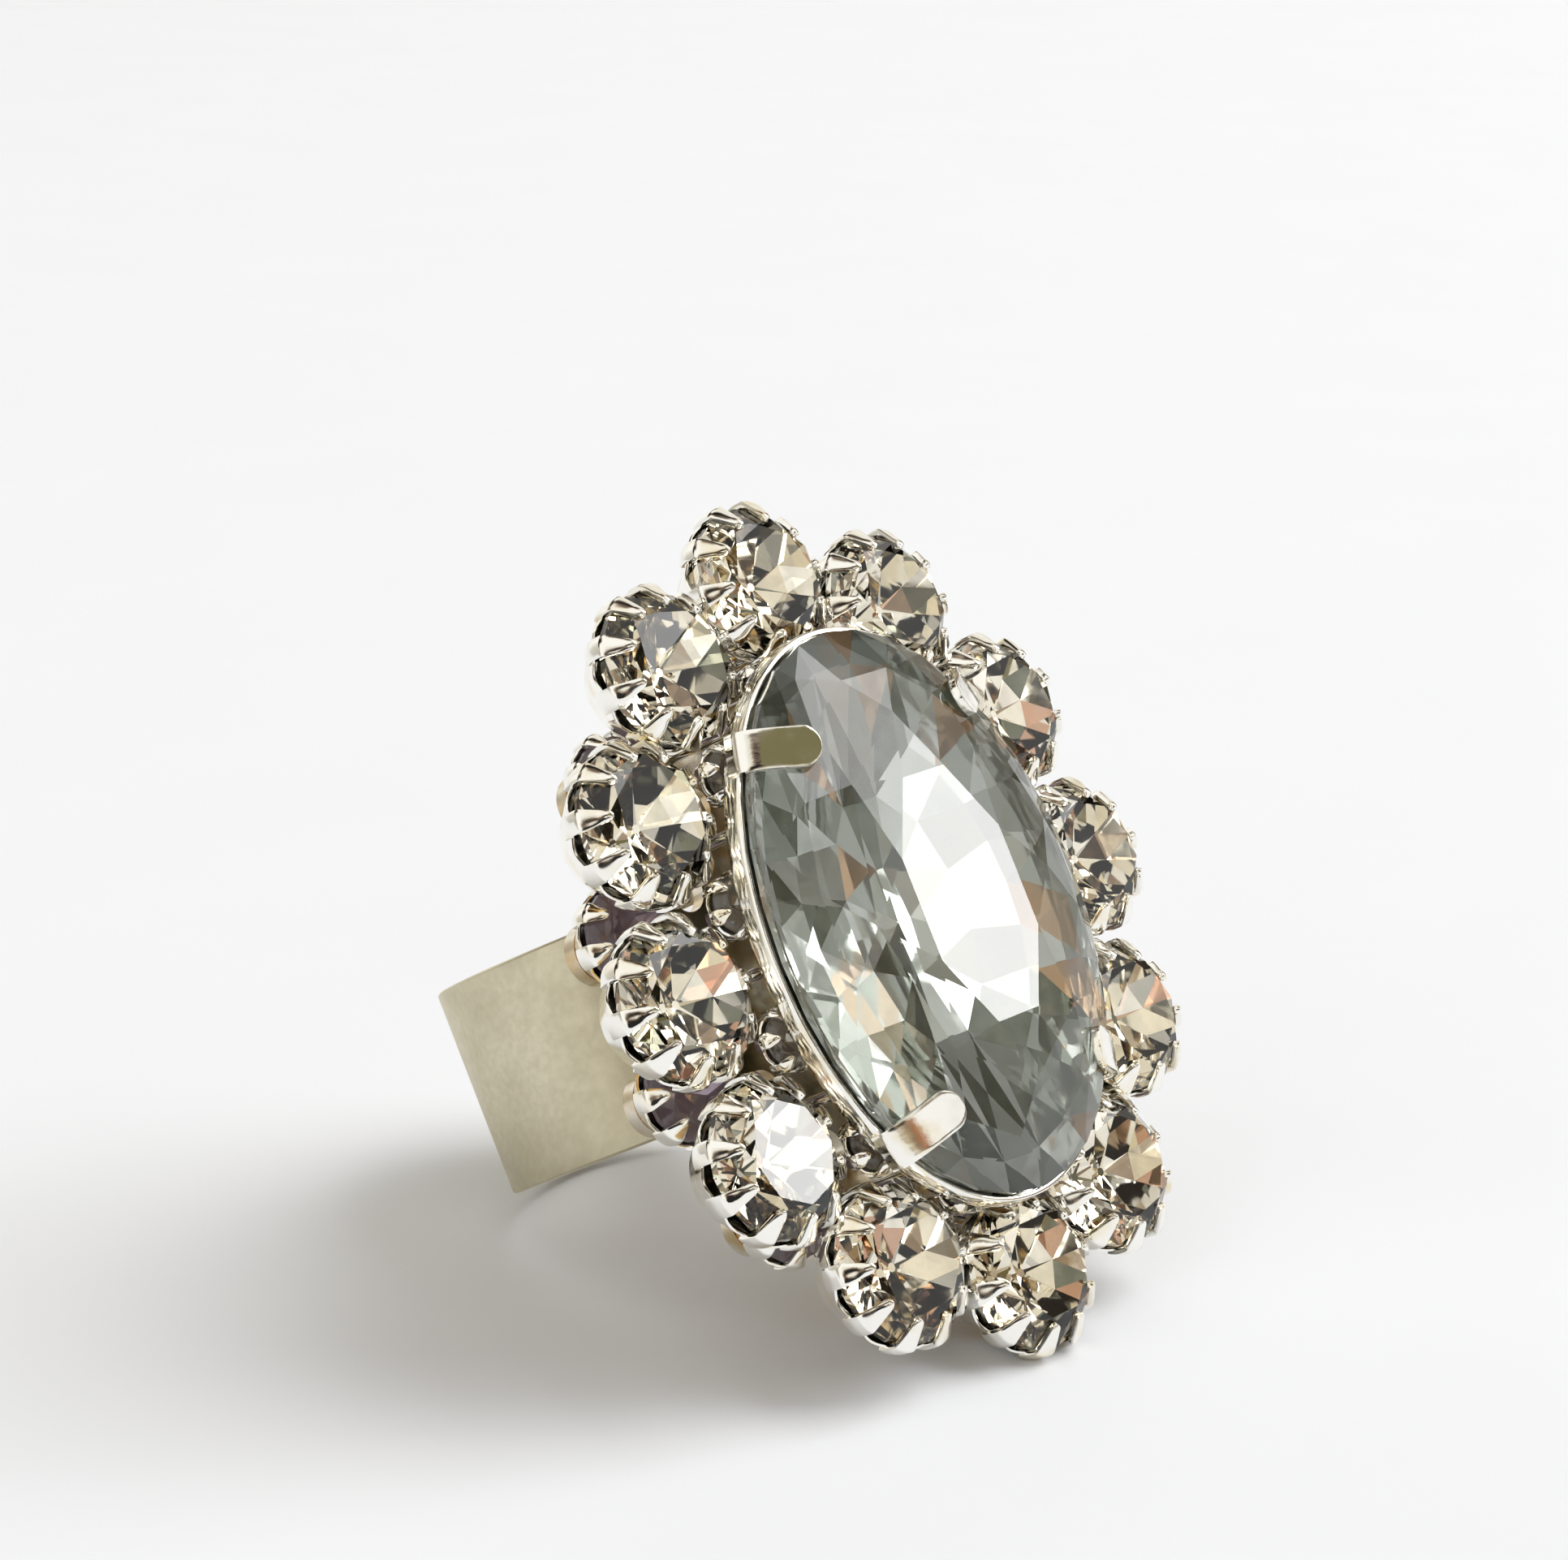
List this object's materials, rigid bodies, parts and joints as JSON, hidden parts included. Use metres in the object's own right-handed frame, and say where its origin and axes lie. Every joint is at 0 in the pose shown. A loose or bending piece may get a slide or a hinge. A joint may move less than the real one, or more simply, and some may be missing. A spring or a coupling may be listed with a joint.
{
  "type": "cocktail ring",
  "caption": "Oval cocktail ring: a large oval crystal in a raised gallery, a halo of round crystals in pronged cups, a lower tier of small stones, and a wide flat band.",
  "frame": {"origin": "centre of the finger bore, on its axis, half way along the band", "axes": "+Y along the finger bore and the long way of the oval head, +Z out of the hand through the middle of the large stone, +X across the fingers"},
  "size_m": [0.0396, 0.0462, 0.0359],
  "materials": {
    "band_metal": "satin champagne nickel plate over brass, polished inside",
    "setting_silver": "bright silver plate over stamped brass",
    "smoky_crystal": "polished smoky blue-grey cut crystal",
    "clear_crystal": "polished clear cut crystal with a foiled back",
    "lilac_crystal": "polished lilac cut crystal with a foiled back"
  },
  "bodies": {
    "root": {"band": "band_metal", "band_pad": "setting_silver", "base_plate": "setting_silver", "center_setting": "setting_silver", "center_stone": "smoky_crystal", "under_cups": "setting_silver", "accent_cups": "setting_silver", "halo_cup_01": "setting_silver", "halo_cup_02": "setting_silver", "halo_cup_03": "setting_silver", "halo_cup_04": "setting_silver", "halo_cup_05": "setting_silver", "halo_cup_06": "setting_silver", "halo_cup_07": "setting_silver", "halo_cup_08": "setting_silver", "halo_cup_09": "setting_silver", "halo_cup_10": "setting_silver", "halo_cup_11": "setting_silver", "halo_cup_12": "setting_silver", "halo_stone_01": "clear_crystal", "halo_stone_02": "clear_crystal", "halo_stone_03": "clear_crystal", "halo_stone_04": "clear_crystal", "halo_stone_05": "clear_crystal", "halo_stone_06": "clear_crystal", "halo_stone_07": "clear_crystal", "halo_stone_08": "clear_crystal", "halo_stone_09": "clear_crystal", "halo_stone_10": "clear_crystal", "halo_stone_11": "clear_crystal", "halo_stone_12": "clear_crystal", "under_stone_01": "lilac_crystal", "under_stone_02": "lilac_crystal", "under_stone_03": "lilac_crystal", "under_stone_04": "lilac_crystal", "under_stone_05": "lilac_crystal", "under_stone_06": "lilac_crystal", "under_stone_07": "lilac_crystal", "under_stone_08": "lilac_crystal", "under_stone_09": "lilac_crystal", "under_stone_10": "lilac_crystal", "under_stone_11": "lilac_crystal", "under_stone_12": "lilac_crystal", "accent_stone_01": "clear_crystal", "accent_stone_02": "clear_crystal", "accent_stone_03": "clear_crystal", "accent_stone_04": "clear_crystal", "accent_stone_05": "clear_crystal", "accent_stone_06": "clear_crystal", "accent_stone_07": "clear_crystal", "accent_stone_08": "clear_crystal", "accent_stone_09": "clear_crystal", "accent_stone_10": "clear_crystal", "accent_stone_11": "clear_crystal", "accent_stone_12": "clear_crystal"}
  },
  "joints": []
}
